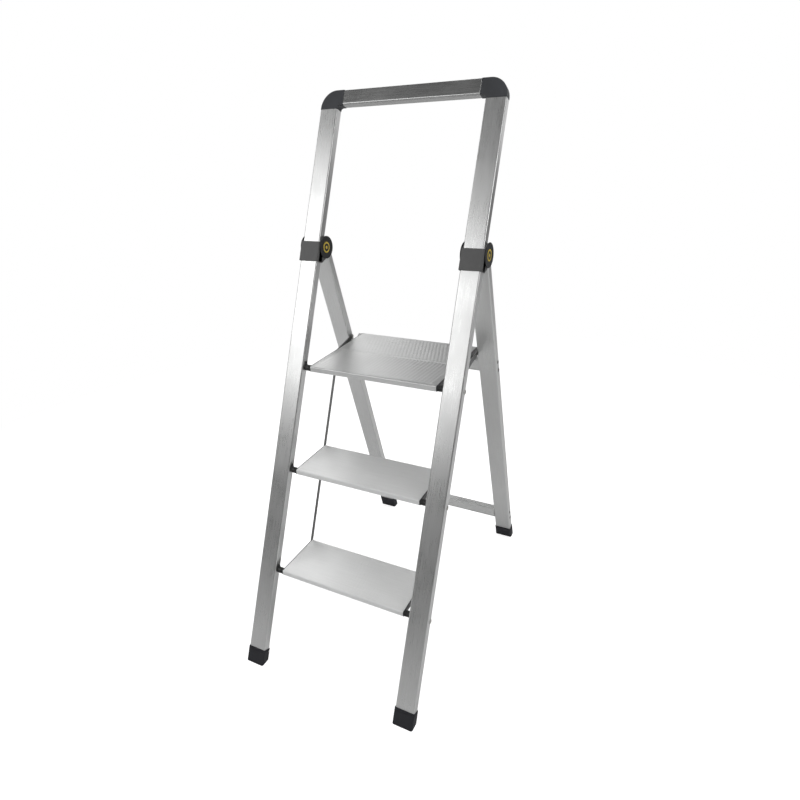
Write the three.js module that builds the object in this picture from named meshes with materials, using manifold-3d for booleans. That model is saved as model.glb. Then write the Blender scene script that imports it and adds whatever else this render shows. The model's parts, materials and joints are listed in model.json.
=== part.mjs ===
// Folding step ladder: two treads and a two-plank platform between flat-tube front rails with a
// hand rail, and a pair of rear legs that fold forward under the platform.
// Millimetres. X is the width, +Y points to the back, +Z is up. The ladder stands open on z = 0.
import * as THREE from "three";
import { mergeVertices } from "three/addons/utils/BufferGeometryUtils.js";
import Module from "manifold-3d";

const wasm = await Module();
wasm.setup();

// ---- Driving dimensions ----

const GAP = 0.3; // between neighbours that touch
const OVERRUN = 1; // how far cuts and joined pieces run past each other's faces
const LEAN = THREE.MathUtils.degToRad(25); // front rails from the vertical
const SPLAY = THREE.MathUtils.degToRad(15); // rear legs from the vertical

const OUTER_WIDTH = 460;
const TUBE = { width: 46.5, depth: 20, wall: 1.5, radius: 3 };
const RAIL_TOP = 1410; // along the rail from the floor line to the hand rail's top
const RAIL_START = 15; // the tube's lower end, inside its foot
const CORNER_START = 1367; // the tube's upper end, where the corner cap begins
const HAND_RAIL = { height: 35, depth: 20, wall: 1.8, radius: 4, halfLength: 170 };
const CORNER_RADIUS = 40;
const CORNER_FILLET = 9;
const CORNER_SPIGOT = 30;

const HINGE = { along: 1047, behind: 26, pinRadius: 3 };
const CLAMP = { from: 1007, to: 1054, wall: 2.7, radius: 2, plateRadius: 25 };
const HINGE_CAP = { radius: 26.8, thickness: 2.4 };

const LEG_FRONT = 1; // the leg's front face behind the hinge axis
const LEG_START = 14; // the tube's upper end below the hinge axis
const LEG_END = 960;
const HEAD = { lugRadius: 5.4, top: 9, shoulder: 4, spigot: 40 };
const FOOT = { proud: 1.8, radius: 4.5, height: 39, legHeight: 38, reach: 60 };

const CROSSBARS = [
  { name: "upper", from: 287, to: 321, front: 4, back: 21, screws: 12 },
  { name: "lower", from: 856, to: 891, front: 1.5, back: 20.5, screws: 12 },
];
const CROSSBAR = { radius: 2.5, web: 2, fillet: 1 };
const SCREW = { radius: 2.3, headRadius: 4.5, head: 1.4, reach: 168 };

const TREAD_TOPS = [222, 452, 682];
const TREAD = { depth: 130, thickness: 14, wall: 1.5, web: 2, cavities: 3, edge: 2, fillet: 1 };
const PLANK = { depth: 128, seam: 0.6 };
const TREAD_PIVOT_DEPTH = 15; // behind the rail's front face
const CAP_INNER = 166; // where the aluminium ends and the plastic end cap begins
const CAP_OUTER = 168;
const SPIGOT = 14;
const KNUCKLE = { radius: 7.3, end: 174 };
const BRACKET = { boss: 174.3, plate: 181.5, tongue: 12, tip: 3.5, lean: 3 };
const TREAD_PIN = { radius: 3, start: 156, headRadius: 5.5, head: 1.7 };

// The peg carries the rods below the tread's middle and stands proud of them.
const PEG = { below: 11, radius: 3, collar: 4.5, lug: 5.5, proud: 1.5 };
const ROD = { inner: 169.6, outer: 173.8, width: 6, eye: 5 };
const STAY = { inner: 179.5, outer: 182.5, width: 11, eye: 6, down: 268, behind: 11 };
const STAY_PIN = { radius: 3, headRadius: 4.6, head: 1.5, tail: 3 };
const FIT = 0.3; // radial clearance of pins in their holes

const ROUND = 14; // segments of a small circle
const CORNER_STEPS = 2; // segments of a rounded corner
const END_STEPS = 4; // segments of a rounded end
const PLATE_STEPS = 10; // segments of a large arc
const LONG = 400; // longer than any cut

// ---- Places worked out from the dimensions ----

const TUBE_INNER = OUTER_WIDTH / 2 - TUBE.width;
const TUBE_OUTER = OUTER_WIDTH / 2;
const TUBE_MIDDLE = (TUBE_INNER + TUBE_OUTER) / 2;

// A point given along the front rail and behind its front face, as [y, z].
function onRail(along, behind) {
  return [
    along * Math.sin(LEAN) + behind * Math.cos(LEAN),
    along * Math.cos(LEAN) - behind * Math.sin(LEAN),
  ];
}

// A point given down the rear leg and behind the hinge axis, as [y, z].
function onLeg(down, behind) {
  const [y, z] = onRail(HINGE.along, HINGE.behind);
  return [
    y + down * Math.sin(SPLAY) + behind * Math.cos(SPLAY),
    z - down * Math.cos(SPLAY) + behind * Math.sin(SPLAY),
  ];
}

// Where a tread's pivot lies along the rail.
function pivotAlong(treadTop) {
  const height = treadTop - TREAD.thickness / 2;
  return (height + TREAD_PIVOT_DEPTH * Math.sin(LEAN)) / Math.cos(LEAN);
}

// The pegs lie so far behind the tread pivots that the stay arm has one length both when the
// ladder stands open and when it is folded flat: in each pose, peg to stay pivot is
// (toPivot + reach * forward), and the two lengths are set equal.
function pegReach() {
  const platform = pivotAlong(TREAD_TOPS[2]);
  const [pivotY, pivotZ] = onRail(platform, TREAD_PIVOT_DEPTH);
  const [stayY, stayZ] = onLeg(STAY.down, STAY.behind);
  const open = new THREE.Vector2(pivotY - stayY, pivotZ - PEG.below - stayZ);
  const folded = new THREE.Vector2(
    platform - (HINGE.along - STAY.down),
    TREAD_PIVOT_DEPTH + PEG.below - HINGE.behind - STAY.behind,
  );
  return (folded.lengthSq() - open.lengthSq()) / (2 * (open.x - folded.x));
}
const PEG_REACH = pegReach();

// ---- Shapes and solids ----

function roundedRect(width, height, radius, x = 0, y = 0) {
  const shape = new THREE.Shape();
  const [w, h] = [width / 2, height / 2];
  shape.moveTo(x - w + radius, y - h);
  shape.lineTo(x + w - radius, y - h);
  shape.absarc(x + w - radius, y - h + radius, radius, -Math.PI / 2, 0);
  shape.lineTo(x + w, y + h - radius);
  shape.absarc(x + w - radius, y + h - radius, radius, 0, Math.PI / 2);
  shape.lineTo(x - w + radius, y + h);
  shape.absarc(x - w + radius, y + h - radius, radius, Math.PI / 2, Math.PI);
  shape.lineTo(x - w, y - h + radius);
  shape.absarc(x - w + radius, y - h + radius, radius, Math.PI, Math.PI * 1.5);
  return shape;
}

function circle(radius, x = 0, y = 0) {
  return new THREE.Shape().absarc(x, y, radius, 0, Math.PI * 2);
}

function extrude(shape, from, to, steps = CORNER_STEPS) {
  const options = { depth: to - from, bevelEnabled: false, curveSegments: steps };
  return new THREE.ExtrudeGeometry(shape, options).translate(0, 0, from);
}

// Turns a geometry drawn in (y, z) and extruded along the third axis so that it runs along X.
const ACROSS = new THREE.Matrix4().makeBasis(
  new THREE.Vector3(0, 1, 0),
  new THREE.Vector3(0, 0, 1),
  new THREE.Vector3(1, 0, 0),
);

function across(shape, fromX, toX, steps = CORNER_STEPS) {
  return extrude(shape, fromX, toX, steps).applyMatrix4(ACROSS);
}

function rod(radius, fromX, toX, y = 0, z = 0) {
  return new THREE.CylinderGeometry(radius, radius, toX - fromX, ROUND)
    .rotateZ(Math.PI / 2)
    .translate((fromX + toX) / 2, y, z);
}

// A pin's hole through a tube, from inside the ladder to the given place.
function drill(pinRadius, toX, y, z) {
  return rod(pinRadius + FIT, TUBE_INNER - OVERRUN, toX + OVERRUN, y, z);
}

function box(low, high) {
  const size = high.map((value, axis) => value - low[axis]);
  const middle = high.map((value, axis) => (value + low[axis]) / 2);
  return new THREE.BoxGeometry(...size).translate(...middle);
}

function solid(geometry) {
  const bare = geometry.clone().deleteAttribute("normal").deleteAttribute("uv");
  const merged = mergeVertices(bare, 1e-4);
  return new wasm.Manifold(
    new wasm.Mesh({
      numProp: 3,
      vertProperties: new Float32Array(merged.attributes.position.array),
      triVerts: new Uint32Array(merged.index.array),
    }),
  );
}

// Joins the added geometries and cuts the removed ones out of them.
function carve(added, removed = []) {
  let result = added.map(solid).reduce((sum, next) => sum.add(next));
  for (const cut of removed) result = result.subtract(solid(cut));
  const mesh = result.getMesh();
  const geometry = new THREE.BufferGeometry();
  geometry.setAttribute("position", new THREE.BufferAttribute(mesh.vertProperties, 3));
  geometry.setIndex(new THREE.BufferAttribute(mesh.triVerts, 1));
  const faceted = geometry.toNonIndexed();
  faceted.computeVertexNormals();
  return faceted;
}

// ---- Materials ----

function material(color, roughness, metalness) {
  return new THREE.MeshStandardMaterial({ color, roughness, metalness });
}

const ANODISED = material(0xb9bbbd, 0.38, 1);
const TREAD_ALUMINIUM = material(0xc3c4c5, 0.45, 1);
const SLATE = material(0x3f4145, 0.5, 0);
const BLACK_PLASTIC = material(0x24252a, 0.55, 0);
const FOOT_RUBBER = material(0x1b1b1f, 0.75, 0);
const STEEL = material(0x9a9b9d, 0.35, 1);
const DARK_STEEL = material(0x55575b, 0.5, 0.8);

// ---- Scene graph ----

const ladder = new THREE.Group();
const frontFrame = new THREE.Group();
const rearFrame = new THREE.Group();
ladder.add(frontFrame, rearFrame);

// Front frame axes: X across, Y behind the rails' front face, Z along the rails.
frontFrame.rotation.x = -LEAN;
// Rear frame axes: X across, Y behind the hinge axis, Z up along the legs.
rearFrame.position.set(0, ...onRail(HINGE.along, HINGE.behind));
rearFrame.rotation.x = SPLAY;

function add(group, name, geometry, look) {
  const mesh = new THREE.Mesh(geometry, look);
  mesh.name = name;
  group.add(mesh);
  return mesh;
}

// The geometry is the right-hand piece; the left-hand one is its mirror image.
function addPair(group, name, geometry, look) {
  add(group, name + "_right", geometry, look);
  add(group, name + "_left", geometry, look).scale.x = -1;
}

// ---- Tubes and feet ----

function tubeSection(middleDepth, wall) {
  const inset = wall ? TUBE.wall : 0;
  const width = TUBE.width - 2 * inset;
  const depth = TUBE.depth - 2 * inset;
  return roundedRect(width, depth, TUBE.radius - inset, TUBE_MIDDLE, middleDepth);
}

function tube(middleDepth, from, to, holes) {
  const section = tubeSection(middleDepth, false);
  section.holes.push(tubeSection(middleDepth, true));
  return carve([extrude(section, from, to)], holes);
}

// A cap round a tube's lower end. The sole is cut level with the floor by the rotated slab.
function foot(middleDepth, top, tubeEnd, sole) {
  const outer = roundedRect(
    TUBE.width + 2 * FOOT.proud,
    TUBE.depth + 2 * FOOT.proud,
    FOOT.radius,
    TUBE_MIDDLE,
    middleDepth,
  );
  const pocket = roundedRect(
    TUBE.width + 2 * GAP,
    TUBE.depth + 2 * GAP,
    TUBE.radius + GAP,
    TUBE_MIDDLE,
    middleDepth,
  );
  return carve(
    [extrude(outer, top - FOOT.reach, top)],
    [extrude(pocket, tubeEnd - GAP, top + OVERRUN), sole],
  );
}

// Everything below the floor, in the axes of a frame that is turned by the given angle.
function belowFloor(group) {
  group.updateMatrix();
  const slab = box([-LONG, -LONG * 3, -LONG], [LONG, LONG * 3, 0]);
  return slab.applyMatrix4(group.matrix.clone().invert());
}

function buildFrontFrame() {
  const middle = TUBE.depth / 2;
  const holes = TREAD_TOPS.map((top) =>
    drill(TREAD_PIN.radius, TUBE_OUTER, TREAD_PIVOT_DEPTH, pivotAlong(top)),
  );
  addPair(frontFrame, "front_rail", tube(middle, RAIL_START, CORNER_START, holes), ANODISED);
  const frontFoot = foot(middle, FOOT.height, RAIL_START, belowFloor(frontFrame));
  addPair(frontFrame, "front_foot", frontFoot, FOOT_RUBBER);
  add(frontFrame, "top_rail", handRail(), ANODISED);
  addPair(frontFrame, "corner_cap", cornerCap(), SLATE);
  addPair(frontFrame, "hinge_clamp", hingeClamp(), SLATE);
  const { radius, thickness } = HINGE_CAP;
  const { along, behind, pinRadius } = HINGE;
  const inside = TUBE_INNER - GAP - CLAMP.wall - GAP;
  const outside = TUBE_OUTER + GAP + CLAMP.wall + GAP;
  const innerCap = hingeCap(radius, inside - thickness, inside, behind, along);
  const outerCap = hingeCap(radius, outside, outside + thickness, behind, along);
  addPair(frontFrame, "hinge_cap_inner", innerCap, BLACK_PLASTIC);
  addPair(frontFrame, "hinge_cap_outer", outerCap, BLACK_PLASTIC);
  const pin = rod(pinRadius, inside + GAP, outside - GAP, behind, along);
  addPair(frontFrame, "hinge_pin", pin, STEEL);
  TREAD_TOPS.forEach((top, index) => {
    const level = index + 1;
    addPair(frontFrame, "tread_bracket_" + level, treadBracket(pivotAlong(top)), BLACK_PLASTIC);
    addPair(frontFrame, "tread_pin_" + level, treadPin(pivotAlong(top)), STEEL);
  });
}

// A disc whose rim has finer steps than a rod's.
function hingeCap(radius, fromX, toX, y, z) {
  return across(circle(radius, y, z), fromX, toX, 3 * PLATE_STEPS);
}

// ---- Hand rail and corners ----

function handRail() {
  const { height, depth, wall, radius, halfLength } = HAND_RAIL;
  const middle = RAIL_TOP - height / 2;
  const section = roundedRect(depth, height, radius, depth / 2, middle);
  const bore = roundedRect(depth - 2 * wall, height - 2 * wall, radius - wall, depth / 2, middle);
  section.holes.push(bore);
  return across(section, -halfLength + GAP, halfLength - GAP);
}

// An elbow between the rail and the hand rail, with a spigot into each tube.
function cornerCap() {
  const bottom = CORNER_START + GAP;
  const underside = RAIL_TOP - HAND_RAIL.height;
  const elbow = new THREE.Shape();
  elbow.moveTo(TUBE_INNER, bottom);
  elbow.lineTo(TUBE_OUTER, bottom);
  elbow.lineTo(TUBE_OUTER, RAIL_TOP - CORNER_RADIUS);
  const outerX = TUBE_OUTER - CORNER_RADIUS;
  elbow.absarc(outerX, RAIL_TOP - CORNER_RADIUS, CORNER_RADIUS, 0, Math.PI / 2);
  elbow.lineTo(HAND_RAIL.halfLength, RAIL_TOP);
  elbow.lineTo(HAND_RAIL.halfLength, underside);
  elbow.lineTo(TUBE_INNER - CORNER_FILLET, underside);
  elbow.lineTo(TUBE_INNER, underside - CORNER_FILLET);
  // Drawn in (x, along), extruded towards the front and set back by the tube's depth.
  const body = extrude(elbow, 0, TUBE.depth, PLATE_STEPS)
    .rotateX(Math.PI / 2)
    .translate(0, TUBE.depth, 0);
  const clear = TUBE.wall + GAP;
  const railSpigot = roundedRect(
    TUBE.width - 2 * clear,
    TUBE.depth - 2 * clear,
    TUBE.radius - clear,
    TUBE_MIDDLE,
    TUBE.depth / 2,
  );
  const handClear = HAND_RAIL.wall + GAP;
  const handSpigot = roundedRect(
    HAND_RAIL.depth - 2 * handClear,
    HAND_RAIL.height - 2 * handClear,
    HAND_RAIL.radius - handClear,
    HAND_RAIL.depth / 2,
    RAIL_TOP - HAND_RAIL.height / 2,
  );
  const { halfLength } = HAND_RAIL;
  return carve([
    body,
    extrude(railSpigot, bottom - CORNER_SPIGOT, bottom + OVERRUN),
    across(handSpigot, halfLength - CORNER_SPIGOT, halfLength + OVERRUN),
  ]);
}

// ---- Rear leg hinges ----

// A band round the rail whose two cheeks reach back to the hinge axis.
function hingeClamp() {
  const { along, behind, pinRadius } = HINGE;
  const { from, to, wall, radius, plateRadius } = CLAMP;
  const front = -GAP - wall;
  // The round plate meets the cheek's lower and upper edges at these turns.
  const [plateStart, plateEnd] = [-0.35 * Math.PI, 0.92 * Math.PI];
  const cheek = new THREE.Shape();
  cheek.moveTo(front, from);
  cheek.lineTo(TUBE.depth, from);
  cheek.absarc(behind, along, plateRadius, plateStart, plateEnd);
  cheek.lineTo(front, to);
  const inside = TUBE_INNER - GAP - wall;
  const outside = TUBE_OUTER + GAP + wall;
  const depth = TUBE.depth / 2;
  const bridge = roundedRect(outside - inside, depth, radius, TUBE_MIDDLE, front + depth / 2);
  const rail = box([inside + wall, -GAP, from - OVERRUN], [outside - wall, LONG, to + LONG]);
  return carve(
    [
      across(cheek, inside, inside + wall, 2 * PLATE_STEPS),
      across(cheek, outside - wall, outside, 2 * PLATE_STEPS),
      extrude(bridge, from, to),
    ],
    [rail, rod(pinRadius + FIT, inside - OVERRUN, outside + OVERRUN, behind, along)],
  );
}

// The plastic head of a rear leg: a spigot in the tube, a rounded top and a lug round the pin.
function legHead() {
  const back = LEG_FRONT + TUBE.depth;
  const { lugRadius, top, shoulder, spigot } = HEAD;
  const profile = new THREE.Shape();
  profile.moveTo(back, -LEG_START + GAP);
  profile.lineTo(back, 0);
  profile.absarc(back - top, 0, top, 0, Math.PI / 2);
  profile.lineTo(LEG_FRONT + shoulder, top);
  profile.absarc(0, 0, lugRadius, Math.PI * 0.6, Math.PI * 1.4);
  profile.lineTo(LEG_FRONT, -LEG_START + GAP);
  const clear = TUBE.wall + GAP;
  const plug = roundedRect(
    TUBE.width - 2 * clear,
    TUBE.depth - 2 * clear,
    TUBE.radius - clear,
    TUBE_MIDDLE,
    LEG_FRONT + TUBE.depth / 2,
  );
  return carve(
    [
      across(profile, TUBE_INNER + GAP, TUBE_OUTER - GAP, END_STEPS),
      extrude(plug, -LEG_START - spigot, -LEG_START + OVERRUN),
    ],
    [drill(HINGE.pinRadius, TUBE_OUTER, 0, 0)],
  );
}

// ---- Rear frame ----

function crossbarScrews(bar) {
  const middle = (bar.from + bar.to) / 2;
  return [middle - bar.screws, middle + bar.screws];
}

function crossbar(bar) {
  const depth = bar.back - bar.front;
  const middleY = (bar.front + bar.back) / 2;
  const middleZ = -(bar.from + bar.to) / 2;
  const { radius, web, fillet } = CROSSBAR;
  const section = roundedRect(depth, bar.to - bar.from, radius, middleY, middleZ);
  const channel = SCREW.radius + FIT;
  const room = 2 * (bar.screws - channel - web);
  section.holes.push(roundedRect(depth - 2 * web, room, fillet, middleY, middleZ));
  for (const down of crossbarScrews(bar)) section.holes.push(circle(channel, middleY, -down));
  return across(section, -TUBE_INNER + GAP, TUBE_INNER - GAP, END_STEPS);
}

function crossbarScrew(bar, down) {
  const y = (bar.front + bar.back) / 2;
  const outside = TUBE_OUTER + GAP;
  const shank = rod(SCREW.radius, SCREW.reach, outside + SCREW.head / 2, y, -down);
  return carve([shank, rod(SCREW.headRadius, outside, outside + SCREW.head, y, -down)]);
}

function buildRearFrame() {
  const middle = LEG_FRONT + TUBE.depth / 2;
  const holes = [drill(STAY_PIN.radius, TUBE_MIDDLE, STAY.behind, -STAY.down)];
  for (const bar of CROSSBARS) {
    add(rearFrame, bar.name + "_crossbar", crossbar(bar), ANODISED);
    crossbarScrews(bar).forEach((down, index) => {
      const name = bar.name + "_crossbar_screw_" + (index + 1);
      addPair(rearFrame, name, crossbarScrew(bar, down), STEEL);
      holes.push(drill(SCREW.radius, TUBE_OUTER, (bar.front + bar.back) / 2, -down));
    });
  }
  addPair(rearFrame, "rear_leg", tube(middle, -LEG_END, -LEG_START, holes), ANODISED);
  addPair(rearFrame, "leg_head", legHead(), BLACK_PLASTIC);
  const hingeHeight = onRail(HINGE.along, HINGE.behind)[1];
  const footTop = FOOT.legHeight - hingeHeight / Math.cos(SPLAY);
  const rearFoot = foot(middle, footTop, -LEG_END, belowFloor(rearFrame));
  addPair(rearFrame, "rear_foot", rearFoot, FOOT_RUBBER);
  addPair(rearFrame, "stay_pin", stayPin(), STEEL);
}

function stayPin() {
  const { radius, headRadius, head, tail } = STAY_PIN;
  const end = TUBE_INNER + TUBE.wall + tail;
  const [y, z] = [STAY.behind, -STAY.down];
  const cap = STAY.inner - GAP;
  return carve([rod(radius, cap - head / 2, end, y, z), rod(headRadius, cap - head, cap, y, z)]);
}

// ---- Treads ----

// The cavities of a plank from front to back, with webs between them.
function plankCavities(front, back) {
  const { wall, web, cavities, thickness } = TREAD;
  const room = (back - front - web * (cavities - 1)) / cavities;
  return Array.from({ length: cavities }, (_, index) => {
    const start = front + index * (room + web);
    return { from: start, to: start + room, height: thickness - 2 * wall };
  });
}

function cavityShape({ from, to, height }, clearance = 0) {
  const width = to - from - 2 * clearance;
  return roundedRect(width, height - 2 * clearance, TREAD.fillet, (from + to) / 2, 0);
}

const NOSE = TREAD.thickness / 2;
const NOSE_EDGE = 3; // radius of the nose's upper and lower edges
const NOSE_BORE = 4.2; // room for the tread pin in the nose
const NOSE_WEB = 1; // between the nose and the first cavity
const REAR_PLANK = {
  from: PLANK.depth - NOSE + PLANK.seam,
  to: 2 * PLANK.depth - NOSE,
};

function nosedCavities(depth) {
  return plankCavities(NOSE + NOSE_WEB, depth - NOSE - TREAD.wall);
}

// A plank's outline from its rounded back edge to the flat-faced nose about the tread's pivot.
function nosedOutline(back) {
  const { edge } = TREAD;
  const outline = new THREE.Shape();
  outline.moveTo(NOSE_EDGE - NOSE, -NOSE);
  outline.lineTo(back - edge, -NOSE);
  outline.absarc(back - edge, -NOSE + edge, edge, -Math.PI / 2, 0);
  outline.absarc(back - edge, NOSE - edge, edge, 0, Math.PI / 2);
  outline.absarc(NOSE_EDGE - NOSE, NOSE - NOSE_EDGE, NOSE_EDGE, Math.PI / 2, Math.PI);
  return outline.absarc(NOSE_EDGE - NOSE, NOSE_EDGE - NOSE, NOSE_EDGE, Math.PI, Math.PI * 1.5);
}

// A tread, or the front plank of the platform, open at both ends.
function nosedPlank(depth) {
  const shape = nosedOutline(depth - NOSE);
  shape.holes.push(circle(NOSE_BORE));
  shape.holes.push(...nosedCavities(depth).map((cavity) => cavityShape(cavity)));
  return across(shape, -CAP_INNER + GAP, CAP_INNER - GAP, END_STEPS);
}

function rearPlank() {
  const { from, to } = REAR_PLANK;
  const shape = roundedRect(to - from, TREAD.thickness, TREAD.edge, (from + to) / 2, 0);
  const cavities = plankCavities(from + TREAD.wall, to - TREAD.wall);
  shape.holes.push(...cavities.map((cavity) => cavityShape(cavity)));
  return across(shape, -CAP_INNER + GAP, CAP_INNER - GAP);
}

// A moulded end cap: a plate over the tread's end, spigots into its cavities, the hinge knuckle
// at the nose, and the lug and peg of the link rod.
function endCap(back, cavities, pegEnd) {
  const lug = new THREE.Shape();
  lug.moveTo(PEG_REACH - 3 * PEG.lug, 0);
  lug.lineTo(PEG_REACH - PEG.lug * 0.8, -PEG.below - PEG.lug * 0.6);
  lug.absarc(PEG_REACH, -PEG.below, PEG.lug, Math.PI * 1.2, Math.PI * 2);
  lug.lineTo(Math.min(PEG_REACH + PEG.lug, back), -NOSE + TREAD.edge);
  lug.lineTo(PEG_REACH - PEG.lug, 0);
  const peg = [
    rod(PEG.radius, CAP_OUTER - OVERRUN, pegEnd, PEG_REACH, -PEG.below),
    rod(PEG.collar, CAP_OUTER - OVERRUN, ROD.inner - GAP, PEG_REACH, -PEG.below),
  ];
  const spigots = cavities.map((cavity) =>
    across(cavityShape(cavity, GAP), CAP_INNER - SPIGOT, CAP_INNER + OVERRUN),
  );
  return carve(
    [
      across(nosedOutline(back), CAP_INNER, CAP_OUTER, END_STEPS),
      across(lug, CAP_INNER, CAP_OUTER, END_STEPS),
      rod(KNUCKLE.radius, CAP_INNER, KNUCKLE.end),
      ...peg,
      ...spigots,
    ],
    [rod(TREAD_PIN.radius + FIT, CAP_INNER - OVERRUN, KNUCKLE.end + OVERRUN)],
  );
}

// A bracket on the rail's inner face: a boss in line with the knuckle and a tapered tongue.
function treadBracket(along) {
  const { boss, plate, tongue, tip, lean } = BRACKET;
  const root = KNUCKLE.radius;
  const shape = new THREE.Shape();
  const middle = TREAD_PIVOT_DEPTH - lean;
  shape.moveTo(TREAD_PIVOT_DEPTH + root, along);
  shape.lineTo(middle + tip, along + tongue);
  shape.absarc(middle, along + tongue, tip, 0, Math.PI);
  shape.lineTo(TREAD_PIVOT_DEPTH - root, along);
  shape.absarc(TREAD_PIVOT_DEPTH, along, root, Math.PI, Math.PI * 2);
  return carve(
    [
      across(shape, plate, TUBE_INNER - GAP, END_STEPS),
      rod(root, boss, plate + OVERRUN, TREAD_PIVOT_DEPTH, along),
    ],
    [rod(TREAD_PIN.radius + FIT, boss - OVERRUN, TUBE_INNER, TREAD_PIVOT_DEPTH, along)],
  );
}

function treadPin(along) {
  const { radius, start, headRadius, head } = TREAD_PIN;
  const outside = TUBE_OUTER + GAP;
  return carve([
    rod(radius, start, outside + head / 2, TREAD_PIVOT_DEPTH, along),
    rod(headRadius, outside, outside + head, TREAD_PIVOT_DEPTH, along),
  ]);
}

function buildTreads() {
  TREAD_TOPS.forEach((top, index) => {
    const level = index + 1;
    const tread = new THREE.Group();
    tread.position.set(0, ...onRail(pivotAlong(top), TREAD_PIVOT_DEPTH));
    ladder.add(tread);
    const isPlatform = level === TREAD_TOPS.length;
    if (isPlatform) {
      add(tread, "platform_front", nosedPlank(PLANK.depth), TREAD_ALUMINIUM);
      add(tread, "platform_rear", rearPlank(), TREAD_ALUMINIUM);
      const spread = [
        ...nosedCavities(PLANK.depth),
        ...plankCavities(REAR_PLANK.from + TREAD.wall, REAR_PLANK.to - TREAD.wall),
      ];
      const cap = endCap(REAR_PLANK.to, spread, STAY.inner - GAP);
      addPair(tread, "platform_end_cap", cap, BLACK_PLASTIC);
    } else {
      const name = "tread_" + level;
      add(tread, name, nosedPlank(TREAD.depth), TREAD_ALUMINIUM);
      const cap = endCap(TREAD.depth - NOSE, nosedCavities(TREAD.depth), ROD.outer + PEG.proud);
      addPair(tread, name + "_end_cap", cap, BLACK_PLASTIC);
    }
  });
}

// ---- Linkage ----

// A flat bar with round eyes, drawn in (y, z) from the first eye to the last.
function linkBar(eyes, width, eyeRadius, fromX, toX, holeRadius) {
  const first = eyes[0];
  const last = eyes[eyes.length - 1];
  const bar = new THREE.Shape();
  const turn = Math.atan2(last[1] - first[1], last[0] - first[0]);
  bar.absarc(...first, width / 2, turn + Math.PI / 2, turn + Math.PI * 1.5);
  bar.absarc(...last, width / 2, turn - Math.PI / 2, turn + Math.PI / 2);
  return carve(
    [
      across(bar, fromX, toX, END_STEPS),
      ...eyes.map(([y, z]) => rod(eyeRadius, fromX, toX, y, z)),
    ],
    eyes.map(([y, z]) => rod(holeRadius, fromX - OVERRUN, toX + OVERRUN, y, z)),
  );
}

function pegPlace(top) {
  const [y, z] = onRail(pivotAlong(top), TREAD_PIVOT_DEPTH);
  return [y + PEG_REACH, z - PEG.below];
}

function buildLinkage() {
  const pegs = TREAD_TOPS.map(pegPlace);
  const linkRod = linkBar(pegs, ROD.width, ROD.eye, ROD.inner, ROD.outer, PEG.radius + FIT);
  addPair(ladder, "link_rod", linkRod, DARK_STEEL);
  const ends = [pegs[pegs.length - 1], onLeg(STAY.down, STAY.behind)];
  const hole = STAY_PIN.radius + FIT;
  const arm = linkBar(ends, STAY.width, STAY.eye, STAY.inner, STAY.outer, hole);
  addPair(ladder, "stay_arm", arm, DARK_STEEL);
}

buildFrontFrame();
buildRearFrame();
buildTreads();
buildLinkage();

// The origin is on the floor at the middle of the ladder's footprint: the front feet's toes are
// the foremost point and the rear feet's heels the rearmost.
const toe = -FOOT.proud / Math.cos(LEAN);
const hinge = onRail(HINGE.along, HINGE.behind);
const heelBehind = LEG_FRONT + TUBE.depth + FOOT.proud;
const heel = hinge[0] + hinge[1] * Math.tan(SPLAY) + heelBehind / Math.cos(SPLAY);
ladder.position.y = -(toe + heel) / 2;

export default ladder;
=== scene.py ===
"""Looks of the folding three-tread ladder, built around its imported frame.

Outlines are drawn in millimetres in the axes of the member they belong to: (x, behind, along) on
the front rails, (x, behind, up) on the rear legs, and (x, y, z) from a tread's pivot. Each mesh is
then turned into place. Right-hand pieces are drawn and left-hand ones mirrored.
"""
import json
import math

import bmesh
import bpy
from mathutils import Matrix, Vector


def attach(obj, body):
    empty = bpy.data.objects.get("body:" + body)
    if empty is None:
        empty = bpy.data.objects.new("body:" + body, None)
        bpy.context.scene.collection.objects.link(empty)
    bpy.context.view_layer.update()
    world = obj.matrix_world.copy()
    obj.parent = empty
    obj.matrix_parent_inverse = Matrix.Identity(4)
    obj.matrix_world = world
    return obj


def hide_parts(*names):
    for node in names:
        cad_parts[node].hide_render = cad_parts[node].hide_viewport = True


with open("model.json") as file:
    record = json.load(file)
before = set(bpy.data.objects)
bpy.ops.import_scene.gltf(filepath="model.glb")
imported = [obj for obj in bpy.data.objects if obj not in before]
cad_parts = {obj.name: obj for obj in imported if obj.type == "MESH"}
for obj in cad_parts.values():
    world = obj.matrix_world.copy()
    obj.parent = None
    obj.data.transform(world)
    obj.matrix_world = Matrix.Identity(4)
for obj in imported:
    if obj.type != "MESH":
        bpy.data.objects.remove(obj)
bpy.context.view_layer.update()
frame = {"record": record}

MM = 0.001
QUARTER = math.pi / 2

# ---- Members' axes, from the joints of the frame ----

JOINTS = {joint["name"]: joint for joint in frame["record"]["behaviour"]["joints"]}


def pivot(joint):
    return Vector(JOINTS[joint]["pos_m"])


TREAD_PIVOTS = [pivot(name) for name in ("lower_tread_fold", "middle_tread_fold", "platform_fold")]
HINGE = pivot("rear_fold")
RAIL_RUN = TREAD_PIVOTS[2] - TREAD_PIVOTS[0]
LEAN = math.atan2(RAIL_RUN.y, RAIL_RUN.z)
SPLAY = math.radians(JOINTS["rear_fold"]["range_deg"][1]) - LEAN
PEG = pivot("link_rod_swing")
STAY = pivot("stay_arm_swing")

PIVOT_DEPTH = 15.0  # of the treads, behind the rails' front face
HINGE_DEPTH = 26.0

TURN_FRONT = Matrix.Rotation(-LEAN, 4, "X")
TURN_REAR = Matrix.Rotation(SPLAY, 4, "X")


def along_rail(point, behind):
    """How far along the front rail a point lies, behind its front face, in millimetres."""
    return (point.z / MM + behind * math.sin(LEAN)) / math.cos(LEAN)


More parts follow.
